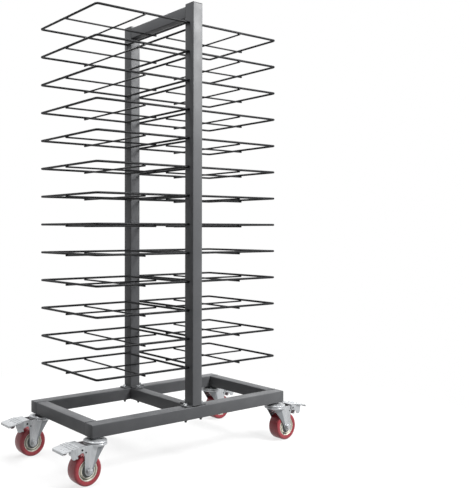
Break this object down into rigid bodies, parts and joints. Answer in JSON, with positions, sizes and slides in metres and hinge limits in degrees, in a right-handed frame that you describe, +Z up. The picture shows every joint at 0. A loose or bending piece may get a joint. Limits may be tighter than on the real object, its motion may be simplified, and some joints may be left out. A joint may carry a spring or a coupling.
{
  "type": "art drying rack",
  "caption": "Double-sided rolling drying rack: levels of wire shelves plugged into square-tube posts on a tube base with braked swivel casters",
  "frame": {"origin": "on the floor under the middle of the base", "axes": "+Z up, +X along the long rails to the right-hand shelves, -Y to the front"},
  "size_m": [1.077, 0.4362, 1.5608],
  "materials": {
    "paint": "fine charcoal powder coat, satin",
    "cap_plastic": "moulded, matt",
    "zinc": "bright zinc plate on pressed steel",
    "tread": "moulded red tread, satin",
    "wheel_core": "moulded ivory core, semi-gloss"
  },
  "bodies": {
    "rack": {"front_rail": "paint", "rear_rail": "paint", "left_rail": "paint", "right_rail": "paint", "centre_rail": "paint", "front_post": "paint", "rear_post": "paint", "front_post_cap": "cap_plastic", "rear_post_cap": "cap_plastic", "top_bar": "paint", "shelf_left_01": "paint", "shelf_left_02": "paint", "shelf_left_03": "paint", "shelf_left_04": "paint", "shelf_left_05": "paint", "shelf_left_06": "paint", "shelf_left_07": "paint", "shelf_left_08": "paint", "shelf_left_09": "paint", "shelf_left_10": "paint", "shelf_left_11": "paint", "shelf_left_12": "paint", "shelf_left_13": "paint", "shelf_right_01": "paint", "shelf_right_02": "paint", "shelf_right_03": "paint", "shelf_right_04": "paint", "shelf_right_05": "paint", "shelf_right_06": "paint", "shelf_right_07": "paint", "shelf_right_08": "paint", "shelf_right_09": "paint", "shelf_right_10": "paint", "shelf_right_11": "paint", "shelf_right_12": "paint", "shelf_right_13": "paint", "front_left_caster_stem": "zinc", "rear_left_caster_stem": "zinc", "front_right_caster_stem": "zinc", "rear_right_caster_stem": "zinc"},
    "front_left_fork": {"front_left_caster_fork": "zinc", "front_left_caster_axle": "zinc"},
    "front_left_wheel": {"front_left_caster_hub": "wheel_core", "front_left_caster_tyre": "tread"},
    "front_left_pedal": {"front_left_caster_pedal": "zinc"},
    "rear_left_fork": {"rear_left_caster_fork": "zinc", "rear_left_caster_axle": "zinc"},
    "rear_left_wheel": {"rear_left_caster_hub": "wheel_core", "rear_left_caster_tyre": "tread"},
    "rear_left_pedal": {"rear_left_caster_pedal": "zinc"},
    "front_right_fork": {"front_right_caster_fork": "zinc", "front_right_caster_axle": "zinc"},
    "front_right_wheel": {"front_right_caster_hub": "wheel_core", "front_right_caster_tyre": "tread"},
    "front_right_pedal": {"front_right_caster_pedal": "zinc"},
    "rear_right_fork": {"rear_right_caster_fork": "zinc", "rear_right_caster_axle": "zinc"},
    "rear_right_wheel": {"rear_right_caster_hub": "wheel_core", "rear_right_caster_tyre": "tread"},
    "rear_right_pedal": {"rear_right_caster_pedal": "zinc"}
  },
  "joints": [
    {"name": "front_left_swivel", "type": "hinge", "parent": "rack", "child": "front_left_fork", "pos_m": [-0.402, -0.17925, 0.144], "axis": [0, 0, 1], "continuous": true},
    {"name": "front_left_roll", "type": "hinge", "parent": "front_left_fork", "child": "front_left_wheel", "pos_m": [-0.442, -0.17925, 0.05], "axis": [0, 1, 0], "continuous": true},
    {"name": "front_left_brake", "type": "hinge", "parent": "front_left_fork", "child": "front_left_pedal", "pos_m": [-0.468, -0.17925, 0.119], "axis": [0, -1, 0], "range_deg": [0, 12]},
    {"name": "rear_left_swivel", "type": "hinge", "parent": "rack", "child": "rear_left_fork", "pos_m": [-0.402, 0.17925, 0.144], "axis": [0, 0, 1], "continuous": true},
    {"name": "rear_left_roll", "type": "hinge", "parent": "rear_left_fork", "child": "rear_left_wheel", "pos_m": [-0.442, 0.17925, 0.05], "axis": [0, 1, 0], "continuous": true},
    {"name": "rear_left_brake", "type": "hinge", "parent": "rear_left_fork", "child": "rear_left_pedal", "pos_m": [-0.468, 0.17925, 0.119], "axis": [0, -1, 0], "range_deg": [0, 12]},
    {"name": "front_right_swivel", "type": "hinge", "parent": "rack", "child": "front_right_fork", "pos_m": [0.402, -0.17925, 0.144], "axis": [0, 0, 1], "continuous": true},
    {"name": "front_right_roll", "type": "hinge", "parent": "front_right_fork", "child": "front_right_wheel", "pos_m": [0.442, -0.17925, 0.05], "axis": [0, 1, 0], "continuous": true},
    {"name": "front_right_brake", "type": "hinge", "parent": "front_right_fork", "child": "front_right_pedal", "pos_m": [0.468, -0.17925, 0.119], "axis": [0, 1, 0], "range_deg": [0, 12]},
    {"name": "rear_right_swivel", "type": "hinge", "parent": "rack", "child": "rear_right_fork", "pos_m": [0.402, 0.17925, 0.144], "axis": [0, 0, 1], "continuous": true},
    {"name": "rear_right_roll", "type": "hinge", "parent": "rear_right_fork", "child": "rear_right_wheel", "pos_m": [0.442, 0.17925, 0.05], "axis": [0, 1, 0], "continuous": true},
    {"name": "rear_right_brake", "type": "hinge", "parent": "rear_right_fork", "child": "rear_right_pedal", "pos_m": [0.468, 0.17925, 0.119], "axis": [0, 1, 0], "range_deg": [0, 12]}
  ]
}
